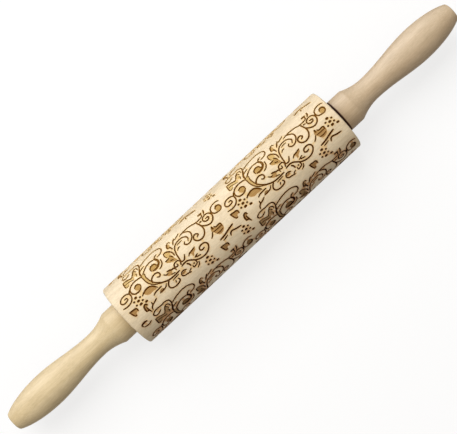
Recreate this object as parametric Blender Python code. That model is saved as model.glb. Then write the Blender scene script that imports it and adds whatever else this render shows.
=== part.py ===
"""Embossed rolling pin: a carved hardwood barrel that turns on a steel axle between two turned handles.

The pin lies along X with its axle's middle at the origin and +Z up. The barrel runs on two flanged
bushes, with a thrust washer outside each, and it can slide a little between the two handles, which
are fixed on the ends of the axle. It rests against the left handle, so the gap shows at the right.
"""

import math

import bmesh
import bpy
from mathutils import Vector
from mathutils.geometry import delaunay_2d_cdt

# Barrel, in metres
BARREL_LENGTH = 0.205
BARREL_DIAMETER = 0.0505
BARREL_EDGE_ROUNDING = 0.0012
BARREL_BORE_DIAMETER = 0.010

# Carving in the barrel's skin: a scrolling vine that repeats along the barrel and in rows round it
REPEAT_LENGTH = 0.0991
CARVING_DEPTH = 0.001
LINE_WIDTH = 0.0012
STEM_WIDTH = 0.0027
CARVING_MARGIN = 0.0015
ROW_SEAM = 0.004
SKIN_GRID = 0.0075
SKIN_CLEARANCE = 0.0024

# Steel axle
AXLE_DIAMETER = 0.008
AXLE_HOLD = 0.040
AXLE_CHAMFER = 0.0006

# Flanged bushes that line the ends of the barrel's bore
BUSH_WALL = 0.0035
BUSH_LENGTH = 0.016
BUSH_FLANGE_WIDTH = 0.0025
BUSH_FLANGE_THICKNESS = 0.0015

# Thrust washers between the bushes and the handles
WASHER_DIAMETER = 0.018
WASHER_THICKNESS = 0.001

# Handles, with places measured from the face next to the barrel
HANDLE_LENGTH = 0.1095
COLLAR_DIAMETER = 0.0265
COLLAR_LENGTH = 0.012
COLLAR_EDGE_ROUNDING = 0.0005
NECK_DIAMETER = 0.0184
NECK_PLACE = 0.0295
GRIP_DIAMETER = 0.0262
GRIP_PLACE = 0.076
TIP_DIAMETER = 0.0138
TIP_EDGE_ROUNDING = 0.0012

# Clearances
RUNNING_GAP = 0.0002
SEAT_GAP = 0.0003
END_FLOAT = 0.002
WELD = 0.0001

# Fineness of the round forms
BARREL_SIDES = 48
HANDLE_SIDES = 28
SMALL_SIDES = 24
ARC_STEPS = 3
COVE_STEPS = 5
SWELL_STEPS = 8
TIP_STEPS = 7
SHARP_ANGLE = math.radians(35)

# What follows from the sizes above
BUSH_BORE_RADIUS = AXLE_DIAMETER / 2 + RUNNING_GAP
BUSH_RADIUS = BUSH_BORE_RADIUS + BUSH_WALL
BUSH_FLANGE_RADIUS = BUSH_RADIUS + BUSH_FLANGE_WIDTH
POCKET_RADIUS = max(BUSH_FLANGE_RADIUS, WASHER_DIAMETER / 2) + SEAT_GAP
POCKET_DEPTH = WASHER_THICKNESS + BUSH_FLANGE_THICKNESS + 2 * SEAT_GAP
BUSH_SEAT_DEPTH = POCKET_DEPTH + BUSH_LENGTH + SEAT_GAP
HANDLE_FACE_PLACE = (BARREL_LENGTH + END_FLOAT) / 2 + SEAT_GAP
BARREL_PLACE = -END_FLOAT / 2
SKIN_END = BARREL_LENGTH / 2 - BARREL_EDGE_ROUNDING - CARVING_MARGIN
SIDE_ANGLE = 2 * math.pi / BARREL_SIDES
PATTERN_SHARE = REPEAT_LENGTH / 100

# The carving's points are in hundredths of one repeat: along the barrel from the repeat's left end,
# and round the barrel from the row's own line. So is the step from one row to the next.
ROW_PITCH_SHARES = 37.4

# Lines of the vine, each as the points that it runs through
VINE_LINES_SHARES = (
    # scroll at the left end
    ((1.0, -4.9), (6.0, -4.3), (10.4, -7.0), (10.5, -10.9), (5.8, -12.0), (2.5, -9.4), (7.0, -7.6)),
    # scroll round the first bud
    ((26.0, -13.8), (18.5, -14.7), (13.2, -12.2), (13.2, -8.4), (17.5, -6.8)),
    # flower's hood
    ((19.6, -23.9), (14.0, -23.6), (17.5, -26.2), (26.5, -26.1), (28.4, -22.5), (26.0, -14.0)),
    # line that the stem runs out in, and the curl inside the stem
    ((32.0, -1.4), (38.5, 1.8), (48.2, 1.9)),
    ((28.8, -5.2), (32.0, -8.2), (36.3, -7.0), (34.6, -4.6)),
    # scroll round the second bud, and the tall loop over it
    ((27.2, -14.3), (33.2, -17.7), (39.9, -17.3), (41.5, -13.5), (38.0, -10.7)),
    ((28.4, -21.4), (37.0, -23.8), (45.5, -23.1), (48.2, -19.8), (42.8, -16.9)),
    # tall branch
    ((53.4, -1.9), (54.2, -7.5), (57.0, -13.2), (62.5, -14.8), (67.4, -12.8), (66.7, -9.4)),
    # great arc, the curl under it and the two scrolls that it ends in
    ((64.2, -16.8), (72.0, -17.5), (79.0, -15.6), (85.2, -16.0)),
    ((68.0, -16.8), (71.8, -12.8), (68.6, -8.0), (63.8, -9.0)),
    ((79.0, -15.4), (80.6, -9.6), (77.4, -4.2), (71.8, -4.8), (71.4, -8.9)),
    ((80.6, -10.8), (85.0, -7.7), (90.2, -9.0), (90.4, -14.2), (85.0, -14.6), (85.4, -11.0)),
    # scroll round the last bud
    ((100.6, -16.5), (95.0, -16.9), (92.2, -13.0), (95.6, -10.2)),
    # lower curl and lower scroll
    ((38.2, 2.0), (35.3, 5.5), (39.0, 8.3), (43.9, 6.8)),
    ((51.4, 0.9), (57.4, 1.0), (62.6, 4.9), (69.5, 6.3), (75.0, 3.0), (73.0, -0.7), (68.8, 0.8)),
)
STEM_LINE_SHARES = ((26.6, -14.2), (26.8, -9.0), (29.2, -4.2), (33.0, -0.8))

# Outlines of the vine's buds, petals and leaves
VINE_LEAVES_SHARES = (
    ((16.4, -10.8), (19.0, -12.1), (21.1, -9.8), (19.2, -7.2)),
    ((33.4, -12.6), (36.0, -15.0), (38.8, -12.8), (36.6, -10.3)),
    ((95.6, -12.6), (98.0, -14.6), (99.9, -12.0), (97.4, -9.9)),
    ((12.1, -20.9), (19.0, -19.4), (22.8, -23.4), (26.0, -22.0), (23.4, -16.8), (19.0, -17.0), (12.1, -15.5)),
    ((47.3, -15.0), (51.0, -13.4), (52.8, -9.0), (52.0, -5.0), (46.8, -6.8), (45.0, -9.5), (47.5, -10.6)),
    ((17.6, -3.2), (23.0, -5.0), (27.4, -3.2), (28.0, -0.2), (22.0, -0.1)),
    ((61.2, -2.0), (67.0, -3.0), (64.4, -0.2), (62.0, 1.0)),
    ((38.2, -3.5), (41.5, -3.4), (46.4, -2.0), (43.0, 0.3), (40.0, -0.6)),
)

# Loose leaves, tulip and sticks between the vine's arms
LOOSE_LINES_SHARES = (
    ((15.9, 8.8), (18.3, 6.7), (23.1, 5.1)),
    ((83.7, 6.1), (97.3, 3.5)),
    ((91.4, 8.6), (94.0, 6.8), (100.6, 8.5)),
)
LOOSE_LEAVES_SHARES = (
    ((2.4, -0.3), (8.1, 0.6), (8.1, 2.9), (5.4, 4.5), (3.6, 4.6)),
    ((11.8, 7.4), (12.4, 4.0), (14.6, 2.6), (15.4, 4.2), (14.0, 7.6)),
    ((82.8, -2.0), (84.8, -5.2), (91.8, -3.3), (91.3, 1.4), (87.6, 2.9), (84.6, 1.2)),
)


def clear_scene():
    """Remove whatever the file holds."""
    for item in list(bpy.data.objects):
        bpy.data.objects.remove(item, do_unlink=True)


def make_material(name, colour, roughness, metallic=0.0):
    """A plain Principled material."""
    material = bpy.data.materials.new(name)
    material.use_nodes = True
    shader = material.node_tree.nodes["Principled BSDF"]
    shader.inputs["Base Color"].default_value = (*colour, 1.0)
    shader.inputs["Roughness"].default_value = roughness
    shader.inputs["Metallic"].default_value = metallic
    return material


def round_corners(corners):
    """Turn (x, radius, rounding) corners into (x, radius) points, each rounded corner as an arc."""
    points = []
    for index, (x, radius, rounding) in enumerate(corners):
        if rounding == 0:
            points.append((x, radius))
            continue
        before = corners[index - 1]
        after = corners[(index + 1) % len(corners)]
        way_in = math.atan2(radius - before[1], x - before[0])
        way_out = math.atan2(after[1] - radius, after[0] - x)
        turn = (way_out - way_in + math.pi) % (2 * math.pi) - math.pi
        run = rounding * math.tan(abs(turn) / 2)
        side = math.copysign(1, turn)
        start_x = x - run * math.cos(way_in)
        start_radius = radius - run * math.sin(way_in)
        centre_x = start_x - side * rounding * math.sin(way_in)
        centre_radius = start_radius + side * rounding * math.cos(way_in)
        for step in range(ARC_STEPS + 1):
            angle = way_in + turn * step / ARC_STEPS
            points.append(
                (
                    centre_x + side * rounding * math.sin(angle),
                    centre_radius - side * rounding * math.cos(angle),
                )
            )
    return points


def spin_outline(outline, sides, hollow):
    """Spin (x, radius) points about X, with a flat facing each way along Y and Z."""
    shape = bmesh.new()
    first = math.pi / sides
    verts = [shape.verts.new((x, r * math.sin(first), r * math.cos(first))) for x, r in outline]
    edges = [shape.edges.new(pair) for pair in zip(verts, verts[1:])]
    if hollow:
        edges.append(shape.edges.new((verts[-1], verts[0])))
    bmesh.ops.spin(
        shape,
        geom=verts + edges,
        cent=(0, 0, 0),
        axis=(1, 0, 0),
        angle=2 * math.pi,
        steps=sides,
        use_merge=True,
    )
    return shape


def finish_piece(name, shape, material):
    """Make the one object that a finished shape and its material belong to."""
    bmesh.ops.recalc_face_normals(shape, faces=shape.faces[:])
    mesh = bpy.data.meshes.new(name)
    shape.to_mesh(mesh)
    shape.free()
    mesh.shade_smooth()
    mesh.set_sharp_from_angle(angle=SHARP_ANGLE)
    mesh.materials.append(material)
    piece = bpy.data.objects.new(name, mesh)
    bpy.context.scene.collection.objects.link(piece)
    return piece


def turn_on_lathe(name, outline, sides, material, hollow):
    """Turn a piece from its outline.

    A hollow piece's outline is a closed loop. Any other outline is open, and a flat cap closes
    each of its two ends.
    """
    shape = spin_outline(outline, sides, hollow)
    rims = [edge for edge in shape.edges if edge.is_boundary]
    if rims:
        bmesh.ops.holes_fill(shape, edges=rims, sides=0)
    return finish_piece(name, shape, material)


def add_pivot(name, place, parent=None):
    """An empty that stands on a joint's axis and carries the pieces that move with it."""
    pivot = bpy.data.objects.new(name, None)
    pivot.location = (place, 0, 0)
    pivot.parent = parent
    bpy.context.scene.collection.objects.link(pivot)
    return pivot


def face_other_way(piece):
    """Turn a piece end for end about Z."""
    piece.rotation_euler = (0, 0, math.pi)


def line_outlines(points, width):
    """A carved line of the given width through the points, as one four-cornered piece per stretch."""
    sides = []
    for index, point in enumerate(points):
        before = points[max(index - 1, 0)]
        after = points[min(index + 1, len(points) - 1)]
        way_in = (point - before).normalized()
        way_out = (after - point).normalized()
        way = (way_in + way_out).normalized()
        straight = max(way.dot(way_in), way.dot(way_out))
        half = Vector((-way.y, way.x)) * width / 2 / straight
        sides.append((point + half, point - half))
    return [(a[0], a[1], b[1], b[0]) for a, b in zip(sides, sides[1:])]


def motif_outlines():
    """The outlines of one repeat of the vine, with its loose leaves, on the flat skin."""
    lines = [(line, LINE_WIDTH) for line in VINE_LINES_SHARES + LOOSE_LINES_SHARES]
    outlines = []
    for line, width in lines + [(STEM_LINE_SHARES, STEM_WIDTH)]:
        outlines += line_outlines([Vector(point) * PATTERN_SHARE for point in line], width)
    for leaf in VINE_LEAVES_SHARES + LOOSE_LEAVES_SHARES:
        outlines.append([Vector(point) * PATTERN_SHARE for point in leaf])
    return outlines


def lay_out_pattern():
    """Every outline on the flat skin, and how far round the barrel the skin's slit lies.

    As many rows fit round the barrel, and repeats along it, as leave a plain gap where the first
    and the last row meet and plain wood at the barrel's ends. The row that faces up lies at zero.
    """
    motif = motif_outlines()
    along = [point.x for outline in motif for point in outline]
    around = [point.y for outline in motif for point in outline]
    girth = math.pi * BARREL_DIAMETER
    row_pitch = ROW_PITCH_SHARES * PATTERN_SHARE
    rows = 1 + int((girth - ROW_SEAM - (max(around) - min(around))) // row_pitch)
    repeats = 1 + int((2 * SKIN_END - (max(along) - min(along))) // REPEAT_LENGTH)
    left = -(min(along) + max(along) + (repeats - 1) * REPEAT_LENGTH) / 2
    first_row = -1 if rows > 2 else 0
    last_row = first_row + rows - 1
    outlines = []
    for row in range(first_row, last_row + 1):
        for repeat in range(repeats):
            corner = Vector((left + repeat * REPEAT_LENGTH, row * row_pitch))
            outlines += [[corner + point for point in outline] for outline in motif]
    slit = (last_row * row_pitch + max(around) + first_row * row_pitch + min(around) + girth) / 2
    side_width = SIDE_ANGLE * BARREL_DIAMETER / 2
    return outlines, (round(slit / side_width - 0.5) + 0.5) * side_width


def is_clear(point, others):
    """Whether a point of the plain skin is far enough from all carved ones."""
    return all((point - other).length > SKIN_CLEARANCE for other in others)


def split_flat_skin(outlines, slit):
    """Cut the flat skin along the outlines into triangles, and tell which of them are carved."""
    points = []
    loops = []
    for outline in outlines:
        turning = sum(a.cross(b) for a, b in zip(outline, list(outline[1:]) + [outline[0]]))
        loops.append(list(range(len(points), len(points) + len(outline))))
        points += outline if turning > 0 else reversed(outline)
    outline_points = list(points)
    columns = round(2 * SKIN_END / SKIN_GRID)
    side_width = SIDE_ANGLE * BARREL_DIAMETER / 2
    rim = {}
    for column in range(columns + 1):
        for side in range(BARREL_SIDES + 1):
            at_end = column in (0, columns)
            at_slit = side in (0, BARREL_SIDES)
            point = Vector((SKIN_END * (2 * column / columns - 1), slit + side_width * (side - BARREL_SIDES)))
            if at_end or at_slit:
                rim[column, side] = len(points)
                points.append(point)
            elif (column + side) % 2 and is_clear(point, outline_points):
                points.append(point)
    edges = []
    for column, side in rim:
        if side in (0, BARREL_SIDES) and column < columns:
            edges.append((rim[column, side], rim[column + 1, side]))
        if column in (0, columns) and side < BARREL_SIDES:
            edges.append((rim[column, side], rim[column, side + 1]))
    flat, _, triangles, _, _, sources = delaunay_2d_cdt(points, edges, loops, 1, WELD)
    return flat, triangles, [bool(source) for source in sources]


def widen_pinches(shape, carved):
    """Carve all round each point where the carving would touch itself at that one point only."""
    pinched = True
    while pinched:
        pinched = []
        for vert in shape.verts:
            borders = 0
            for edge in vert.link_edges:
                sides = [face in carved for face in edge.link_faces]
                borders += len(sides) == 2 and sides[0] != sides[1]
            if borders > 2:
                pinched.append(vert)
        for vert in pinched:
            carved.update(vert.link_faces)


def carve_skin():
    """The barrel's skin with the vine sunk into it: carved flat, then bent round onto the flats."""
    outlines, slit = lay_out_pattern()
    flat, triangles, is_carved = split_flat_skin(outlines, slit)
    shape = bmesh.new()
    verts = [shape.verts.new(point.to_3d()) for point in flat]
    faces = [shape.faces.new([verts[corner] for corner in triangle]) for triangle in triangles]
    carved = {face for face, inside in zip(faces, is_carved) if inside}
    widen_pinches(shape, carved)
    edges = {edge for face in carved for edge in face.edges}
    corners = {vert for face in carved for vert in face.verts}
    sunk = bmesh.ops.extrude_face_region(shape, geom=[*carved, *edges, *corners])["geom"]
    floor = [item for item in sunk if isinstance(item, bmesh.types.BMVert)]
    bmesh.ops.translate(shape, verts=floor, vec=(0, 0, -CARVING_DEPTH))
    for vert in shape.verts:
        angle = vert.co.y / (BARREL_DIAMETER / 2)
        from_flat_middle = angle - round(angle / SIDE_ANGLE) * SIDE_ANGLE
        skin = BARREL_DIAMETER / 2 * math.cos(SIDE_ANGLE / 2) / math.cos(from_flat_middle)
        radius = skin + vert.co.z
        vert.co = (vert.co.x, -radius * math.sin(angle), radius * math.cos(angle))
    return shape


def make_barrel():
    """The hardwood barrel: carved skin, bored through, with a stepped pocket in each end."""
    end = BARREL_LENGTH / 2
    pocket = end - POCKET_DEPTH
    seat = end - BUSH_SEAT_DEPTH
    half_section = [
        (0, BARREL_BORE_DIAMETER / 2, 0),
        (seat, BARREL_BORE_DIAMETER / 2, 0),
        (seat, BUSH_RADIUS + SEAT_GAP, 0),
        (pocket, BUSH_RADIUS + SEAT_GAP, 0),
        (pocket, POCKET_RADIUS, 0),
        (end, POCKET_RADIUS, 0),
        (end, BARREL_DIAMETER / 2, BARREL_EDGE_ROUNDING),
        (SKIN_END, BARREL_DIAMETER / 2, 0),
    ]
    shape = carve_skin()
    for way in (-1, 1):
        outline = [(way * x, radius) for x, radius in round_corners(half_section)]
        half = spin_outline(outline, BARREL_SIDES, False)
        turned = bpy.data.meshes.new("barrel_end")
        half.to_mesh(turned)
        half.free()
        shape.from_mesh(turned)
        bpy.data.meshes.remove(turned)
    bmesh.ops.remove_doubles(shape, verts=shape.verts[:], dist=WELD)
    wood = make_material("barrel_wood", (0.83, 0.64, 0.42), 0.55)
    return finish_piece("barrel", shape, wood)


def make_axle():
    """The steel rod that the barrel runs on, chamfered at both ends, which sit in the handles."""
    end = HANDLE_FACE_PLACE + AXLE_HOLD
    radius = AXLE_DIAMETER / 2
    outline = [
        (-end, radius - AXLE_CHAMFER),
        (-end + AXLE_CHAMFER, radius),
        (end - AXLE_CHAMFER, radius),
        (end, radius - AXLE_CHAMFER),
    ]
    steel = make_material("axle_steel", (0.60, 0.60, 0.62), 0.30, 1.0)
    return turn_on_lathe("axle_rod", outline, SMALL_SIDES, steel, False)


def make_bush(name, nylon):
    """A flanged bush, with its flange's outer face at X = 0 and its sleeve towards -X."""
    outline = [
        (-BUSH_FLANGE_THICKNESS - BUSH_LENGTH, BUSH_BORE_RADIUS),
        (0, BUSH_BORE_RADIUS),
        (0, BUSH_FLANGE_RADIUS),
        (-BUSH_FLANGE_THICKNESS, BUSH_FLANGE_RADIUS),
        (-BUSH_FLANGE_THICKNESS, BUSH_RADIUS),
        (-BUSH_FLANGE_THICKNESS - BUSH_LENGTH, BUSH_RADIUS),
    ]
    return turn_on_lathe(name, outline, SMALL_SIDES, nylon, True)


def make_washer(name, steel):
    """A thrust washer, with its outer face at X = 0."""
    outline = [
        (-WASHER_THICKNESS, BUSH_BORE_RADIUS),
        (0, BUSH_BORE_RADIUS),
        (0, WASHER_DIAMETER / 2),
        (-WASHER_THICKNESS, WASHER_DIAMETER / 2),
    ]
    return turn_on_lathe(name, outline, SMALL_SIDES, steel, True)


def handle_outline():
    """The handle from its bore's floor, round the collar and grip, to the flat at its tip."""
    bore = AXLE_DIAMETER / 2 + SEAT_GAP
    collar = COLLAR_DIAMETER / 2
    neck = NECK_DIAMETER / 2
    grip = GRIP_DIAMETER / 2
    tip = TIP_DIAMETER / 2
    corners = [
        (AXLE_HOLD + SEAT_GAP, bore, 0),
        (0, bore, 0),
        (0, collar, COLLAR_EDGE_ROUNDING),
        (COLLAR_LENGTH, collar, 0),
    ]
    for step in range(1, COVE_STEPS + 1):
        along = step / COVE_STEPS
        x = COLLAR_LENGTH + (NECK_PLACE - COLLAR_LENGTH) * along
        corners.append((x, neck + (collar - neck) * (1 - along) ** 2, 0))
    for step in range(1, SWELL_STEPS + 1):
        along = step / SWELL_STEPS
        x = NECK_PLACE + (GRIP_PLACE - NECK_PLACE) * along
        corners.append((x, neck + (grip - neck) * (1 - math.cos(math.pi * along)) / 2, 0))
    tip_angle = math.acos(tip / grip)
    for step in range(1, TIP_STEPS + 1):
        angle = tip_angle * step / TIP_STEPS
        x = GRIP_PLACE + (HANDLE_LENGTH - GRIP_PLACE) * math.sin(angle) / math.sin(tip_angle)
        rounding = TIP_EDGE_ROUNDING if step == TIP_STEPS else 0
        corners.append((x, grip * math.cos(angle), rounding))
    corners.append((HANDLE_LENGTH, 0, 0))
    return round_corners(corners)[:-1]


def make_handle(name, colour):
    """A turned handle with a blind bore for the axle, its barrel side at X = 0 and its tip at +X."""
    wood = make_material(name + "_wood", colour, 0.5)
    return turn_on_lathe(name, handle_outline(), HANDLE_SIDES, wood, False)


def build():
    """Make the pieces and put them in their places."""
    clear_scene()
    make_axle()
    slide = add_pivot("barrel_end_float", BARREL_PLACE)
    spin = add_pivot("barrel_spin", 0, slide)
    barrel = make_barrel()
    barrel.parent = spin
    nylon = make_material("bush_nylon", (0.80, 0.78, 0.72), 0.4)
    washer_steel = make_material("washer_steel", (0.66, 0.66, 0.67), 0.35, 1.0)
    left_colour = (0.72, 0.56, 0.33)
    right_colour = (0.71, 0.52, 0.36)
    for side, way, colour in (("left", -1, left_colour), ("right", 1, right_colour)):
        washer = make_washer(side + "_thrust_washer", washer_steel)
        washer.parent = slide
        washer.location = (way * BARREL_LENGTH / 2, 0, 0)
        bush = make_bush(side + "_bush", nylon)
        bush.parent = spin
        bush.location = (way * (BARREL_LENGTH / 2 - WASHER_THICKNESS - SEAT_GAP), 0, 0)
        handle = make_handle(side + "_handle", colour)
        handle.location = (way * HANDLE_FACE_PLACE, 0, 0)
        if side == "left":
            face_other_way(washer)
            face_other_way(bush)
            face_other_way(handle)
    bpy.context.view_layer.update()


build()
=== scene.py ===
"""Looks of the embossed rolling pin: a laser-carved beech barrel between two turned handles.

Lengths are in metres. The pin lies along X with +Z up, as in the frame it is built round.
"""

import math

import bmesh
import bpy
from mathutils import Matrix, Vector
from mathutils.geometry import delaunay_2d_cdt
from mathutils.kdtree import KDTree


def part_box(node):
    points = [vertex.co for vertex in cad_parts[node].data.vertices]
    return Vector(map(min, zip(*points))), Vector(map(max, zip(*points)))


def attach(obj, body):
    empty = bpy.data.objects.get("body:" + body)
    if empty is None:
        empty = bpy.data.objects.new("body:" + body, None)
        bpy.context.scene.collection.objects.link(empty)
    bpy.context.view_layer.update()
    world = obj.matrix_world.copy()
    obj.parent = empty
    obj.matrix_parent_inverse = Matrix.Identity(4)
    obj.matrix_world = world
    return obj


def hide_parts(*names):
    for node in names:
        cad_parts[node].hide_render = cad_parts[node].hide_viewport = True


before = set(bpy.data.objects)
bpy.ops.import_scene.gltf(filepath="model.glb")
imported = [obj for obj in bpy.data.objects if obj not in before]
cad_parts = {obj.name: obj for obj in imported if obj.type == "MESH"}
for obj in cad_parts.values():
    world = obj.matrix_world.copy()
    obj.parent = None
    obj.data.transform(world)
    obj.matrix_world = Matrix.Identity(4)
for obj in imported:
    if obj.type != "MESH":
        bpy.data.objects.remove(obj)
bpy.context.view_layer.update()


# Barrel
# A roller of pale beech, turned between centres and bored through. A laser has burnt a vine of
# scrolls into it: narrow lines go deep and dark, wide leaves are shallower and keep a toasted floor.
# It turns on two bushes pressed into its ends.

barrel_low, barrel_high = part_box("barrel")
barrel_left = barrel_low[0]
barrel_right = barrel_high[0]
barrel_middle = (barrel_left + barrel_right) / 2
barrel_radius = 0.02525
barrel_girth = 2 * math.pi * barrel_radius
barrel_edge_rounding = 0.0012
barrel_sides = 144
bore_radius = 0.005
bush_seat_radius = 0.0080
bush_seat_depth = 0.0194
pocket_radius = 0.0105
pocket_depth = 0.0031
edge_arc_steps = 6
weld_distance = 2e-6
crease_angle = math.radians(20)

# One repeat of the vine is this long, and lengths given in shares are hundredths of it. On the skin,
# u runs along the barrel from the first repeat's left end, and v round it from the top line to -Y.
repeat_length = 0.0991
share = repeat_length / 100
vine_half_length = 0.0992
vine_start = barrel_middle - vine_half_length
repeat_starts_shares = (0, 100)
row_pitch_shares = 37.4
rows = (-1, 0, 1, 2)
seam_place_shares = 94.2
line_depth = 0.0010
hollow_depth = 0.0005
faint_depth = 0.00025
line_step_shares = 0.62
line_end_narrowing = 0.72
line_taper_shares = 1.5
cap_steps = 5
skin_step = 0.0033
skin_clearance = 0.00048
stagger_columns = 0.25

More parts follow.
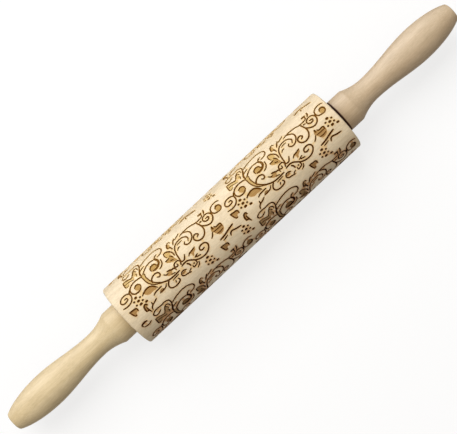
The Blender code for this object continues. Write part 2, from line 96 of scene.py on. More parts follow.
# Lines of the vine, each as its width and the points that it runs through
vine_lines_shares = (
    # scroll at the left end
    (1.1, ((1.0, -4.9), (4.6, -4.3), (8.6, -5.1), (10.9, -7.4), (11.1, -10.3), (9.3, -11.6),
           (6.5, -12.0), (3.8, -11.3), (2.2, -9.3), (3.0, -7.7), (5.6, -7.4), (7.9, -8.1),
           (7.5, -9.5), (5.8, -9.5))),
    (1.1, ((11.2, -10.7), (12.6, -12.2))),
    # second scroll, round a bud
    (1.2, ((25.0, -13.7), (22.6, -14.4), (19.0, -14.7), (15.6, -14.0), (13.2, -12.2), (12.6, -9.8),
           (13.8, -7.6), (16.3, -6.8), (19.0, -7.2), (20.9, -8.6))),
    (0.9, ((16.3, -10.9), (18.2, -11.9), (20.3, -11.3), (21.2, -9.6), (20.4, -8.2))),
    # flower's hood and its stem
    (1.1, ((19.6, -23.9), (18.0, -23.0), (16.0, -22.5), (14.0, -23.2), (13.5, -24.6), (15.3, -25.9),
           (18.5, -26.4), (22.0, -26.1), (25.3, -26.3), (28.0, -25.3), (28.7, -23.5), (28.1, -21.2))),
    (1.5, ((28.1, -21.2), (27.0, -18.8), (25.8, -16.6), (25.6, -14.0))),
    # flower's left petal
    (1.0, ((12.1, -20.8), (15.0, -20.5), (17.5, -19.6), (19.5, -19.1), (21.0, -20.4), (22.5, -22.7),
           (24.4, -23.9), (26.2, -22.9), (26.5, -20.9))),
    (0.9, ((12.2, -20.8), (12.2, -15.6), (15.0, -15.8))),
    (0.8, ((12.6, -18.2), (15.0, -18.2), (17.5, -17.3), (20.0, -16.5))),
    # flower's right petal
    (0.8, ((23.0, -22.6), (24.3, -21.9), (24.5, -20.4))),
    (0.9, ((23.2, -19.6), (23.9, -18.4), (23.3, -16.9))),
    # both edges of the wide main stem
    (0.9, ((24.8, -13.9), (25.4, -12.0), (25.4, -9.8), (25.9, -7.2), (27.0, -4.9), (28.6, -3.0),
           (31.2, -1.3))),
    (0.9, ((28.4, -13.9), (27.7, -11.8), (27.8, -9.2), (28.3, -6.8), (29.3, -4.6), (31.0, -2.6),
           (33.2, -0.9))),
    # long line that the stem runs out in
    (1.2, ((31.2, -1.4), (34.2, 0.0), (38.0, 1.6), (42.0, 2.1), (48.2, 1.9))),
    # curl inside the stem
    (1.2, ((28.6, -4.9), (29.6, -6.8), (31.6, -8.0), (34.2, -8.3), (36.3, -7.2), (36.4, -5.3),
           (34.8, -4.6), (33.6, -5.5))),
    # third scroll, round a bud
    (1.2, ((27.2, -14.3), (30.0, -16.2), (33.2, -17.7), (36.5, -18.1), (39.8, -17.3))),
    (1.8, ((39.9, -17.4), (41.4, -15.3), (41.3, -12.9), (39.6, -11.3), (37.0, -10.5), (34.4, -10.9))),
    (1.0, ((39.6, -11.8), (38.7, -12.8), (38.2, -14.2), (36.5, -14.9), (34.4, -14.5), (33.2, -13.1),
           (33.3, -11.4))),
    (1.3, ((40.4, -17.6), (41.6, -18.8), (43.2, -19.2))),
    (1.1, ((38.8, -8.5), (41.0, -9.1), (42.8, -10.8), (43.5, -13.6))),
    # tall loop
    (1.1, ((28.4, -21.4), (32.5, -22.8), (37.0, -23.7), (41.5, -23.9), (45.5, -23.0), (48.1, -21.2),
           (48.2, -19.0), (46.2, -17.4), (42.8, -16.9))),
    (1.1, ((27.2, -17.9), (29.0, -18.7), (31.2, -19.3))),
    # veined leaf and the lobe under it
    (1.1, ((47.3, -15.1), (49.3, -15.0), (51.5, -13.3), (52.9, -10.9), (52.9, -8.3))),
    (0.9, ((47.5, -11.0), (46.9, -13.0), (47.4, -15.1))),
    (1.0, ((49.7, -10.8), (50.7, -9.6), (51.4, -8.2))),
    (0.9, ((45.1, -9.4), (48.4, -9.7))),
    (0.9, ((48.4, -7.6), (50.0, -6.9))),
    # small square curl
    (1.1, ((52.0, -4.2), (49.6, -4.2), (47.9, -3.4), (47.5, -2.0), (48.7, -1.2), (50.1, -1.6),
           (49.9, -2.8))),
    (1.0, ((51.8, -4.4), (52.6, -3.2), (53.4, -2.2))),
    # stalked bud
    (1.1, ((56.0, -18.7), (55.2, -19.7), (53.5, -19.4), (52.4, -17.8), (52.2, -15.9), (54.0, -15.3))),
    (1.1, ((54.0, -15.8), (54.6, -13.2))),
    # tall branch and its hook
    (1.1, ((53.4, -1.9), (53.8, -5.0), (54.4, -8.2), (55.6, -11.4), (57.8, -13.8), (61.0, -14.8),
           (64.6, -14.6), (67.2, -13.0), (67.9, -11.4), (66.7, -9.4))),
    (0.9, ((58.8, -12.7), (61.0, -13.0), (63.4, -13.0))),
    (1.0, ((56.8, -9.4), (58.0, -10.3), (59.6, -10.6))),
    (1.3, ((56.9, -15.4), (58.2, -17.2), (59.8, -18.9))),
    (1.1, ((59.8, -17.5), (62.2, -18.3), (64.6, -19.3))),
    # great arc and the curl under it
    (1.1, ((64.2, -16.8), (67.0, -17.3), (71.0, -17.5), (75.0, -16.9), (78.0, -15.9), (81.0, -15.6),
           (85.2, -16.0))),
    (1.1, ((67.2, -17.2), (69.6, -15.9), (71.5, -13.9), (71.5, -11.3), (69.7, -8.9), (66.9, -7.5),
           (64.4, -7.9), (63.3, -9.6), (64.4, -10.7))),
    # scroll that the great arc ends in
    (1.2, ((79.0, -15.4), (80.0, -12.6), (80.6, -9.6), (79.9, -6.6), (77.6, -4.3), (74.5, -3.6),
           (71.6, -4.7), (70.4, -7.0), (71.5, -8.9), (73.8, -9.2), (75.0, -7.8), (73.2, -6.8))),
    (1.2, ((80.6, -10.8), (82.6, -8.9), (84.8, -7.7), (87.2, -7.4), (89.8, -8.6), (91.3, -11.2),
           (90.8, -13.7), (88.8, -15.2), (86.2, -15.2), (84.1, -13.8), (84.0, -12.0), (85.6, -10.8),
           (88.0, -11.0), (88.5, -12.4), (86.2, -12.8))),
    (1.6, ((83.6, -18.8), (85.8, -18.8))),
    (1.0, ((85.6, -18.6), (85.3, -16.2))),
    (1.3, ((88.5, -19.8), (88.3, -18.2), (87.2, -16.6))),
    (1.2, ((81.3, -13.6), (82.4, -13.4))),
    # last scroll, round a bud
    (1.1, ((101.4, -16.5), (98.6, -17.4), (95.4, -17.1), (92.9, -15.5), (92.2, -12.9), (93.4, -10.8),
           (96.0, -10.0), (98.6, -10.0), (99.9, -11.6), (99.5, -13.6), (97.4, -14.6), (95.7, -13.4))),
    (1.1, ((91.0, -12.9), (92.4, -13.6))),
    # leaf under the second scroll
    (1.2, ((17.2, -2.8), (19.2, -3.8), (22.4, -4.6), (25.6, -4.0), (27.6, -2.2), (28.9, -0.1))),
    # bud at the main stem's foot
    (1.1, ((23.5, 2.4), (25.4, 1.6), (28.2, 1.4), (31.5, 1.3))),
    (1.0, ((27.7, 4.4), (31.2, 4.3), (33.6, 3.6), (35.2, 2.3))),
    # lower curls
    (1.2, ((38.2, 2.0), (36.3, 3.4), (35.2, 5.4), (35.9, 7.3), (38.4, 8.3), (41.6, 8.2), (43.8, 7.4),
           (44.3, 6.3), (43.7, 5.2))),
    (0.9, ((40.9, 6.4), (41.6, 5.4))),
    (0.9, ((40.3, 3.9), (42.5, 3.6), (46.0, 3.4))),
    (1.1, ((52.3, 4.6), (50.4, 3.8), (48.4, 4.0), (47.2, 5.6), (48.2, 7.0), (50.6, 7.6), (53.7, 8.3))),
    (0.9, ((53.0, 7.3), (55.1, 6.4))),
    (1.3, ((55.4, 2.2), (56.2, 3.2), (56.4, 4.6))),
    # lower scroll
    (1.2, ((51.4, 0.9), (54.4, 0.4), (57.4, 1.0), (60.0, 2.9), (62.0, 4.6), (65.0, 5.8), (68.4, 6.3),
           (71.6, 5.7), (74.3, 3.9), (75.4, 1.6), (74.3, -0.3), (71.6, -0.9), (69.2, -0.2),
           (68.5, 1.4), (69.9, 2.3), (71.9, 1.9))),
    (1.1, ((57.5, 5.6), (57.3, 7.2), (59.4, 7.1), (61.2, 6.2), (61.0, 4.0))),
    (1.2, ((59.0, 5.2), (59.3, 5.2))),
    (1.1, ((62.4, 6.6), (61.6, 8.2), (59.3, 9.3))),
    # leaves on the lower scroll
    (1.0, ((59.8, -0.9), (61.6, -2.1), (64.2, -2.5), (67.0, -3.1))),
    (1.1, ((62.4, 2.7), (65.3, 1.8))),
    (1.0, ((63.6, 3.2), (66.4, 3.9))),
    # fork
    (1.1, ((52.0, -0.5), (52.7, -1.9))),
    (1.1, ((53.2, -1.5), (55.8, -1.3), (57.0, -2.3), (58.3, -3.9))),
    # leaf over the long line
    (1.0, ((38.0, -3.4), (39.0, -2.2), (40.8, -2.1))),
    (1.2, ((41.2, -3.5), (43.0, -3.1), (44.6, -2.2), (46.4, -2.0), (47.1, -0.1))),
    (0.8, ((42.4, 0.2), (44.9, 0.8))),
)

# Outlines of its shallow leaves, petals and buds
vine_hollows_shares = (
    ((16.1, -9.4), (16.8, -11.4), (18.8, -12.1), (20.7, -11.2), (21.2, -9.2), (20.2, -7.4), (18.2, -6.9),
     (17.5, -7.8)),
    ((33.2, -12.8), (34.2, -14.5), (36.4, -15.0), (38.2, -14.2), (38.9, -12.2), (38.6, -10.6),
     (36.0, -10.2), (33.8, -11.0)),
    ((95.3, -12.8), (96.2, -14.4), (98.2, -14.6), (99.8, -13.2), (99.9, -11.6), (98.6, -10.0),
     (96.4, -10.0), (95.6, -11.2)),
    ((45.0, -9.5), (47.6, -9.7), (49.8, -10.2), (51.4, -8.0), (52.0, -5.0), (49.8, -5.4),
     (46.8, -6.8), (45.2, -8.2)),
    ((52.3, -15.8), (52.9, -18.2), (54.1, -18.9), (54.6, -17.0), (54.2, -15.3)),
    ((19.0, -3.0), (22.2, -4.5), (25.6, -3.9), (27.4, -2.0), (27.8, 0.2), (25.4, -0.2), (22.0, -0.1),
     (20.0, -1.2)),
    ((27.6, 4.4), (28.6, 3.0), (30.8, 2.7), (32.0, 4.0)),
    ((47.8, 5.0), (51.6, 4.4), (50.9, 5.6), (48.3, 5.9)),
    ((61.4, -2.0), (66.9, -2.9), (66.3, -1.2), (64.2, -0.3), (63.2, 1.0), (62.0, 1.0), (62.4, -0.4)),
    ((38.2, -3.6), (39.8, -2.3), (41.0, -2.3), (41.6, -3.5), (43.6, -2.9), (44.0, -1.4), (43.0, 0.3),
     (41.2, 0.1), (39.4, -1.0)),
)

# Outlines of what the laser has only toasted: the flower's petals, the main stem and the veined leaf
vine_faint_shares = (
    ((12.1, -20.9), (15.5, -20.4), (19.0, -19.1), (21.0, -18.6), (20.2, -16.4), (16.8, -17.2),
     (14.8, -15.7), (12.1, -15.5)),
    ((20.8, -19.6), (21.8, -22.0), (23.6, -23.4), (24.6, -21.8), (24.0, -20.2), (23.9, -18.4),
     (23.1, -16.6), (22.0, -18.0)),
    ((24.8, -14.0), (26.6, -14.6), (28.4, -14.0), (27.7, -11.8), (27.8, -9.2), (28.3, -6.8),
     (29.3, -4.6), (31.0, -2.6), (33.0, -1.0), (31.2, -1.2), (28.6, -3.0), (27.0, -4.9),
     (25.9, -7.2), (25.4, -9.8), (25.4, -12.0)),
    ((47.3, -15.0), (49.4, -14.8), (51.2, -12.9), (51.0, -10.6), (49.5, -10.0), (47.5, -10.4)),
)

# Loose motifs between the scrolls, each drawn from its own middle: their lines, and the outlines of
# their shallow leaves and petals
loose_lines_shares = {
    "seeds": (
        (1.8, ((-0.5, -3.0), (0.3, -3.0))),
        (1.4, ((-3.1, -1.4), (-2.6, -1.4))),
        (1.4, ((2.4, -1.3), (2.8, -1.3))),
        (1.8, ((-0.4, 0.0), (0.4, 0.0))),
        (1.4, ((-3.2, 1.5), (-2.8, 1.5))),
        (1.4, ((2.4, 1.5), (2.8, 1.5))),
        (1.8, ((-0.5, 2.8), (0.4, 2.7))),
        (1.6, ((3.5, 3.9), (4.5, 4.0))),
    ),
    "half_leaf": (
        (1.2, ((0.0, 0.0), (2.8, 0.4), (5.5, 0.9), (5.8, 2.2), (5.6, 3.1))),
        (1.1, ((0.1, 0.3), (0.6, 2.2), (1.3, 4.4))),
        (0.9, ((1.5, 4.7), (2.7, 4.8))),
    ),
    "bent_leaf": (
        (1.3, ((-2.2, 4.6), (-2.0, 2.4), (-1.1, 0.5), (0.2, 0.0), (1.1, 0.4), (1.3, 1.4))),
        (1.2, ((-0.2, 2.4), (-0.2, 4.4), (0.2, 6.2), (0.5, 7.2))),
        (0.9, ((-2.1, 4.8), (-0.6, 5.1))),
    ),
    "twig": (
        (1.1, ((-2.4, 2.8), (-1.8, 1.2), (0.0, 0.0), (1.8, -0.5), (4.8, -1.7))),
        (1.0, ((0.0, -0.3), (0.3, -1.8))),
    ),
    "leaf_pair": (
        (1.8, ((-2.4, -1.4), (0.0, -1.9), (2.2, -1.5))),
        (1.0, ((-2.8, -1.2), (-2.5, 0.1))),
        (1.2, ((-2.0, 0.9), (0.0, 1.7), (2.2, 1.7), (4.4, 0.9))),
    ),
    "tulip": (
        (1.1, ((-6.1, 2.2), (-4.5, 1.2), (-3.0, -0.5))),
        (1.3, ((-1.1, -3.7), (-1.1, -2.4))),
        (1.0, ((0.5, -2.9), (1.3, -1.9), (5.2, -1.7), (5.3, 0.4))),
        (0.8, ((-2.0, -0.2), (1.6, 0.0), (5.0, 0.0))),
        (0.8, ((-1.0, 2.4), (2.0, 2.7), (4.5, 2.2))),
    ),
    "sticks": (
        (1.4, ((-6.3, 1.1), (-2.0, 0.6), (3.0, -0.6), (7.3, -1.5))),
        (1.1, ((-4.8, 2.8), (-2.5, 2.5), (-0.5, 1.9))),
    ),
    "hook": ((1.3, ((-2.6, 2.1), (-1.7, 0.6), (0.0, 0.0), (3.0, 1.0), (7.0, 1.7))),),
    "fork": (
        (1.9, ((-5.5, 0.6), (-3.0, -0.2), (0.0, -0.9))),
        (1.7, ((0.0, -0.9), (3.2, 0.9), (8.5, 2.5))),
        (0.9, ((-0.1, 0.8), (-0.2, 2.8))),
    ),
}
loose_hollows_shares = {
    "half_leaf": (
        ((0.0, 0.0), (2.8, 0.3), (5.6, 0.8), (5.8, 2.9), (3.6, 3.3), (3.0, 4.9), (1.3, 4.9), (0.4, 2.2)),
    ),
    "bent_leaf": (((-2.2, 4.8), (-2.0, 2.4), (-0.6, 0.6), (1.0, 0.8), (0.2, 2.6), (0.1, 5.4)),),
    "tulip": (
        ((-3.0, -0.8), (-2.2, -3.2), (-1.0, -4.2), (0.0, -2.6), (1.2, -2.2), (5.6, -2.1), (6.0, 0.2),
         (5.0, 2.8), (2.4, 4.1), (0.0, 3.9), (-1.2, 2.4), (-2.0, 0.6)),
    ),
}

# Where the loose motifs stand: in the row that faces up, in the other rows, and where the pattern's
# two edges leave a wider gap at the back
top_row_places_shares = (
    ("seeds", 12.7, -2.1), ("seeds", 112.6, -2.0), ("seeds", 195.9, -2.1), ("seeds", 68.8, 11.8),
    ("seeds", 101.9, 13.5), ("seeds", 178.4, 11.6), ("half_leaf", 2.4, -0.3), ("half_leaf", 100.6, -2.1),
    ("half_leaf", 80.2, 10.2), ("half_leaf", 164.7, 10.8), ("bent_leaf", 14.0, 2.8),
    ("bent_leaf", 108.5, 4.0), ("twig", 18.3, 6.8), ("twig", 121.5, 6.8), ("leaf_pair", 5.0, 14.0),
    ("tulip", 86.1, -1.2), ("tulip", 184.8, -1.2), ("sticks", 90.0, 5.0), ("sticks", 186.6, 5.0),
    ("hook", 94.0, 6.8), ("hook", 190.2, 6.7),
)
other_row_places_shares = (
    ("seeds", 12.7, -2.1), ("seeds", 112.6, -2.0), ("seeds", 195.0, -2.1), ("seeds", 97.4, 10.2),
    ("half_leaf", 2.4, -0.3), ("half_leaf", 100.6, -2.1), ("bent_leaf", 14.0, 2.8),
    ("bent_leaf", 116.6, 2.8), ("twig", 18.3, 6.8), ("twig", 121.9, 7.0), ("fork", 76.0, 9.2),
    ("fork", 187.6, 9.2), ("tulip", 86.1, -1.2), ("tulip", 184.8, -1.2),
)
back_gap_places_shares = (
    ("tulip", 16.0, 14.8), ("seeds", 30.0, 14.4), ("half_leaf", 39.0, 12.2), ("sticks", 55.0, 14.4),
    ("twig", 68.0, 15.4), ("half_leaf", 88.0, 12.8), ("bent_leaf", 108.0, 10.6), ("tulip", 122.0, 14.8),
    ("seeds", 137.0, 14.4), ("twig", 149.0, 15.0), ("sticks", 176.0, 15.8), ("half_leaf", 193.0, 13.0),
)


def smooth_run(points, closed=False):
    """Run an even, rounded line through listed points, given as shares."""
    knots = [Vector(point) for point in points]
    if closed:
        knots = [knots[-1]] + knots + knots[:2]
    else:
        knots = [2 * knots[0] - knots[1]] + knots + [2 * knots[-1] - knots[-2]]
    run = []
    for before, start, end, after in zip(knots, knots[1:], knots[2:], knots[3:]):
        first = (start - before).length ** 0.5
        second = first + (end - start).length ** 0.5
        third = second + (after - end).length ** 0.5
        steps = max(1, round((end - start).length / line_step_shares))
        for step in range(steps):
            at = first + (second - first) * step / steps
            lower = before.lerp(start, at / first)
            middle = start.lerp(end, (at - first) / (second - first))
            upper = end.lerp(after, (at - second) / (third - second))
            left = lower.lerp(middle, at / second)
            right = middle.lerp(upper, (at - first) / (third - first))
            run.append(left.lerp(right, (at - first) / (second - first)))
    if not closed:
        run.append(knots[-2])
    return run


def line_polygons(width, points):
    """A groove's outline as a chain of short quads with a rounded cap at each end."""
    run = smooth_run(points)
    travelled = [0.0]
    for start, end in zip(run, run[1:]):
        travelled.append(travelled[-1] + (end - start).length)
    sides = []
    is_long = travelled[-1] > 2 * line_taper_shares
    for index, point in enumerate(run):
        way = (run[min(index + 1, len(run) - 1)] - run[max(index - 1, 0)]).normalized()
        from_end = min(travelled[index], travelled[-1] - travelled[index])
        tapered = line_end_narrowing + (1 - line_end_narrowing) * min(1, from_end / line_taper_shares)
        half = Vector((-way.y, way.x)) * width / 2 * (tapered if is_long else 1)
        sides.append((point + half, point - half))
    polygons = [(a[0], a[1], b[1], b[0]) for a, b in zip(sides, sides[1:])]
    for rung, centre in ((sides[0], run[0]), (tuple(reversed(sides[-1])), run[-1])):
        spoke = rung[0] - centre
        turns = [Matrix.Rotation(math.pi * step / cap_steps, 2) for step in range(1, cap_steps)]
        polygons.append((rung[0], *(centre + turn @ spoke for turn in turns), rung[1]))
    return polygons


def moved(polygons, offset):
    """Shift polygons to their place, and turn shares into metres on the flat map."""
    return [[(point + offset) * share for point in polygon] for polygon in polygons]


# Outlines of each motif's lines, hollows and faint spots, before it goes to its places
all_lines = {"vine": vine_lines_shares, **loose_lines_shares}
all_hollows = {"vine": vine_hollows_shares, **loose_hollows_shares}
all_faint = {"vine": vine_faint_shares}
motifs = {}
for name, lines in all_lines.items():
    motifs[name] = (
        [polygon for width, points in lines for polygon in line_polygons(width, points)],
        [smooth_run(points, closed=True) for points in all_hollows.get(name, ())],
        [smooth_run(points, closed=True) for points in all_faint.get(name, ())],
    )

places = []
for row in rows:
    down = row * row_pitch_shares
    places += [("vine", start, down) for start in repeat_starts_shares]
    loose = top_row_places_shares if row == 0 else other_row_places_shares
    places += [(name, u, v + down) for name, u, v in loose]
    if row == rows[-1]:
        places += [(name, u, v + down) for name, u, v in back_gap_places_shares]
deep_polygons = []
shallow_polygons = []
faint_polygons = []
for name, u, v in places:
    offset = Vector((u, v))
    line_outlines, hollow_outlines, faint_outlines = motifs[name]
    deep_polygons += moved(line_outlines, offset)
    shallow_polygons += moved(hollow_outlines, offset)
    faint_polygons += moved(faint_outlines, offset)

# The flat map of the barrel's skin, slit along the seam line at the back: the carving's outlines, all
# anticlockwise, and a staggered grid that bends evenly
skin_left = barrel_left + barrel_edge_rounding - vine_start
skin_right = barrel_right - barrel_edge_rounding - vine_start
skin_low = seam_place_shares * share - barrel_girth
strip = barrel_girth / barrel_sides
columns = round((skin_right - skin_left) / skin_step)
map_points = []
map_polygons = []
for polygon in deep_polygons + shallow_polygons + faint_polygons:
    first = len(map_points)
    map_points += polygon
    loop = list(range(first, len(map_points)))
    doubled_area = sum(a.cross(b) for a, b in zip(polygon, polygon[1:] + polygon[:1]))
    map_polygons.append(loop if doubled_area > 0 else loop[::-1])
carved_points = KDTree(len(map_points))
for index, point in enumerate(map_points):
    carved_points.insert(point.to_3d(), index)
carved_points.balance()
rim = {}
for column in range(columns + 1):
    for side in range(barrel_sides + 1):
        on_rim = column in (0, columns) or side in (0, barrel_sides)
        stagger = 0
        if not on_rim:
            stagger = stagger_columns if side % 2 else -stagger_columns
        along = (column + stagger) / columns
        point = Vector((skin_left + (skin_right - skin_left) * along, skin_low + strip * side))
        if on_rim:
            rim[column, side] = len(map_points)
        if on_rim or carved_points.find(point.to_3d())[2] > skin_clearance:
            map_points.append(point)
rim_edges = []
neighbours = [(key, (key[0] + 1, key[1])) for key in rim]
neighbours += [(key, (key[0], key[1] + 1)) for key in rim]
for start, end in neighbours:
    on_one_side = start[1] == end[1] and start[1] in (0, barrel_sides)
    on_one_end = start[0] == end[0] and start[0] in (0, columns)
    if end in rim and (on_one_side or on_one_end):
        rim_edges.append((rim[start], rim[end]))
merge_distance = 1e-7
triangles_inside = 1
keep_sources = True
flat_points, _, flat_faces, _, _, sources = delaunay_2d_cdt(
    map_points, rim_edges, map_polygons, triangles_inside, merge_distance, keep_sources
)

# Faces inside a line are deep, those inside a leaf are shallow, and those of a petal or stem are faint,
# as levels above the plain skin's 0.
# Where two carved spots would touch at one point only, the faces round that point are carved too.
barrel_mesh = bmesh.new()
level_of = barrel_mesh.faces.layers.int.new("level")
scorch_of = barrel_mesh.verts.layers.float.new("scorch")
verts = [barrel_mesh.verts.new(point.to_3d()) for point in flat_points]
faint, shallow, deep = 1, 2, 3
upright_below = 0.5
first_faint = len(deep_polygons) + len(shallow_polygons)
for corners, source in zip(flat_faces, sources):
    face = barrel_mesh.faces.new([verts[corner] for corner in corners])
    if source:
        outline = min(source)
        if outline < len(deep_polygons):
            face[level_of] = deep
        elif outline < first_faint:
            face[level_of] = shallow
        else:
            face[level_of] = faint


def widen_pinches(level):
    """Carve all round each point where the carving at this level or deeper only touches itself."""
    pinched = True
    while pinched:
        pinched = []
        for vert in barrel_mesh.verts:
            carved = [face[level_of] >= level for face in vert.link_faces]
            if any(carved) and not all(carved):
                borders = 0
                for edge in vert.link_edges:
                    sides = [face[level_of] >= level for face in edge.link_faces]
                    borders += len(sides) == 2 and sides[0] != sides[1]
                if borders > 2:
                    pinched.append(vert)
        for vert in pinched:
            for face in vert.link_faces:
                face[level_of] = max(face[level_of], level)


def is_wall(face):
    """Whether a face of the flat map stands upright, as the walls of the carving do."""
    return abs(face.normal.z) < upright_below


def sink(level, depth):
    """Push the floor of the carving at this level or deeper down, with a wall round it."""
    floor = [face for face in barrel_mesh.faces if face[level_of] >= level and not is_wall(face)]
    floor_edges = {edge for face in floor for edge in face.edges}
    floor_verts = {vert for face in floor for vert in face.verts}
    sunk = bmesh.ops.extrude_face_region(barrel_mesh, geom=[*floor, *floor_edges, *floor_verts])["geom"]
    moved_verts = [item for item in sunk if isinstance(item, bmesh.types.BMVert)]
    bmesh.ops.translate(barrel_mesh, verts=moved_verts, vec=(0, 0, -depth))
    for face in barrel_mesh.faces:
        face.normal_update()


barrel_mesh.normal_update()
widen_pinches(faint)
widen_pinches(shallow)
widen_pinches(deep)
sink(faint, faint_depth)
sink(shallow, hollow_depth - faint_depth)
sink(deep, line_depth - hollow_depth)

# The skin's corners along the carving are scorched. Edges that the shallower floors left on the walls
# go, and then the flat map is bent round the barrel.
for vert in barrel_mesh.verts:
    on_edge = any(is_wall(face) for face in vert.link_faces)
    vert[scorch_of] = 1.0 if on_edge or vert.co.z < 0 else 0.0
flush = []
for edge in barrel_mesh.edges:
    on_wall = all(is_wall(face) for face in edge.link_faces)
    for level_depth in (faint_depth, hollow_depth):
        if on_wall and all(abs(vert.co.z + level_depth) < merge_distance for vert in edge.verts):
            flush.append(edge)
bmesh.ops.dissolve_edges(barrel_mesh, edges=flush, use_verts=True)
for vert in barrel_mesh.verts:
    angle = vert.co.y / barrel_radius
    radius = barrel_radius + vert.co.z
    vert.co = (vert.co.x + vine_start, -radius * math.sin(angle), radius * math.cos(angle))


def rounded_corners(corners):
    """Turn (x, radius, rounding) corners of a closed or open outline into points, with arcs."""
    points = []
    for index, (x, radius, rounding) in enumerate(corners):
        corner = Vector((x, radius))
        if rounding == 0:
            points.append(corner)
            continue
        back = (Vector(corners[index - 1][:2]) - corner).normalized()
        ahead = (Vector(corners[(index + 1) % len(corners)][:2]) - corner).normalized()
        half_angle = back.angle(ahead) / 2
        centre = corner + (back + ahead).normalized() * rounding / math.sin(half_angle)
        start = corner + back * rounding / math.tan(half_angle) - centre
        turn = start.angle_signed(corner + ahead * rounding / math.tan(half_angle) - centre)
        for step in range(edge_arc_steps + 1):
            points.append(centre + Matrix.Rotation(-turn * step / edge_arc_steps, 2) @ start)
    return points


def lathe(points, sides, first_angle=0, closed=False):
    """Spin an outline of (x, radius) points about the pin's axis, and close it at its poles."""
    shape = bmesh.new()
    sine, cosine = math.sin(first_angle), math.cos(first_angle)
    ring = [shape.verts.new((x, -radius * sine, radius * cosine)) for x, radius in points]
    edges = [shape.edges.new(pair) for pair in zip(ring, ring[1:])]
    if closed:
        edges.append(shape.edges.new((ring[-1], ring[0])))
    bmesh.ops.spin(
        shape,
        geom=ring + edges,
        cent=(0, 0, 0),
        axis=(1, 0, 0),
        angle=2 * math.pi,
        steps=sides,
        use_merge=True,
    )
    bmesh.ops.remove_doubles(shape, verts=shape.verts[:], dist=weld_distance)
    bmesh.ops.recalc_face_normals(shape, faces=shape.faces[:])
    return shape


def barrel_end(face_x, way):
    """Outline from the bore's middle out to the skin at one end; way is -1 at the left, 1 at the right."""
    corners = [
        (barrel_middle, bore_radius, 0),
        (face_x - way * bush_seat_depth, bore_radius, 0),
        (face_x - way * bush_seat_depth, bush_seat_radius, 0),
        (face_x - way * pocket_depth, bush_seat_radius, 0),
        (face_x - way * pocket_depth, pocket_radius, 0),
        (face_x, pocket_radius, 0),
        (face_x, barrel_radius, barrel_edge_rounding),
        (barrel_middle, barrel_radius, 0),
    ]
    # The last corner only shows the edge's rounding which way the skin runs
    return rounded_corners(corners)[:-1]


def finished_mesh(shape, name):
    """Turn a bmesh into a mesh."""
    mesh = bpy.data.meshes.new(name)
    shape.to_mesh(mesh)
    shape.free()
    return mesh


for face_x, way in ((barrel_left, -1), (barrel_right, 1)):
    shape = lathe(barrel_end(face_x, way), barrel_sides, seam_place_shares * share / barrel_radius)
    turned_end = finished_mesh(shape, "barrel_end")
    barrel_mesh.from_mesh(turned_end)
    bpy.data.meshes.remove(turned_end)
bmesh.ops.remove_doubles(barrel_mesh, verts=barrel_mesh.verts[:], dist=weld_distance)
bmesh.ops.recalc_face_normals(barrel_mesh, faces=barrel_mesh.faces[:])


def add_socket_link(tree, source, target):
    """Link two sockets, or set the target's value when the source is a plain value."""
    if isinstance(source, bpy.types.NodeSocket):
        tree.links.new(source, target)
    else:
        target.default_value = source


def add_node(tree, kind, inputs=(), output=0, **settings):
    """Add a node with its settings and inputs, and give back one of its outputs."""
    node = tree.nodes.new(kind)
    for name, value in settings.items():
        setattr(node, name, value)
    for key, value in dict(inputs).items():
        add_socket_link(tree, value, node.inputs[key])
    return node.outputs[output]


def add_maths(tree, operation, *values):
    """A Math node on plain values or sockets."""
    return add_node(tree, "ShaderNodeMath", dict(enumerate(values)), operation=operation)


# A Mix node's sockets for colours: the factor and both colours, and the result
mix_colour_inputs = (0, 6, 7)
mix_colour_output = 2


def add_mix(tree, factor, first, second, blend="MIX"):
    """Mix two colours."""
    node = tree.nodes.new("ShaderNodeMix")
    node.data_type = "RGBA"
    node.blend_type = blend
    for index, value in zip(mix_colour_inputs, (factor, first, second)):
        add_socket_link(tree, value, node.inputs[index])
    return node.outputs[mix_colour_output]


def add_steps(tree, value, stops):
    """A colour ramp through (place, colour) stops."""
    node = tree.nodes.new("ShaderNodeValToRGB")
    add_socket_link(tree, value, node.inputs[0])
    elements = node.color_ramp.elements
    any_place = 0.5
    while len(elements) < len(stops):
        elements.new(any_place)
    for element, (place, colour) in zip(elements, stops):
        element.position = place
        element.color = (*colour, 1.0)
    return node.outputs[0]


def add_fade(tree, value, start, end):
    """0 up to the start, 1 from the end on, and even in between. The start may be past the end."""
    return add_node(tree, "ShaderNodeMapRange", {"Value": value, "From Min": start, "From Max": end})


def stretched_noise(tree, along, across, detail, roughness=0.5, offset=(0, 0, 0)):
    """Noise drawn out along the pin: this many blotches per metre along the grain and across it."""
    place = add_node(tree, "ShaderNodeTexCoord", output="Object")
    scaled = add_node(
        tree,
        "ShaderNodeMapping",
        {"Vector": place, "Scale": (along, across, across), "Location": offset},
    )
    inputs = {"Vector": scaled, "Scale": 1.0, "Detail": detail, "Roughness": roughness}
    return add_node(tree, "ShaderNodeTexNoise", inputs)


def start_principled(name):
    """A new Principled material, with its node tree and shader."""
    material = bpy.data.materials.new(name)
    material.use_nodes = True
    return material, material.node_tree, material.node_tree.nodes["Principled BSDF"]


def add_relief(tree, shader, height, strength, reach):
    """Bump the surface by a height."""
    bump = add_node(tree, "ShaderNodeBump", {"Height": height, "Strength": strength, "Distance": reach})
    tree.links.new(bump, shader.inputs["Normal"])


# Where on its noise each layer of the grain starts and ends, and the tones there
none = (0, 0, 0)
full = (1, 1, 1)
band_steps = ((0.32, none), (0.70, full))
fibre_steps = ((0.30, (0.90, 0.885, 0.86)), (0.66, (1.03, 1.03, 1.03)))
cloud_steps = ((0.34, (0.94, 0.93, 0.91)), (0.64, (1.035, 1.035, 1.035)))
fleck_steps = ((0.655, none), (0.72, full))
fleck_strength = 0.42


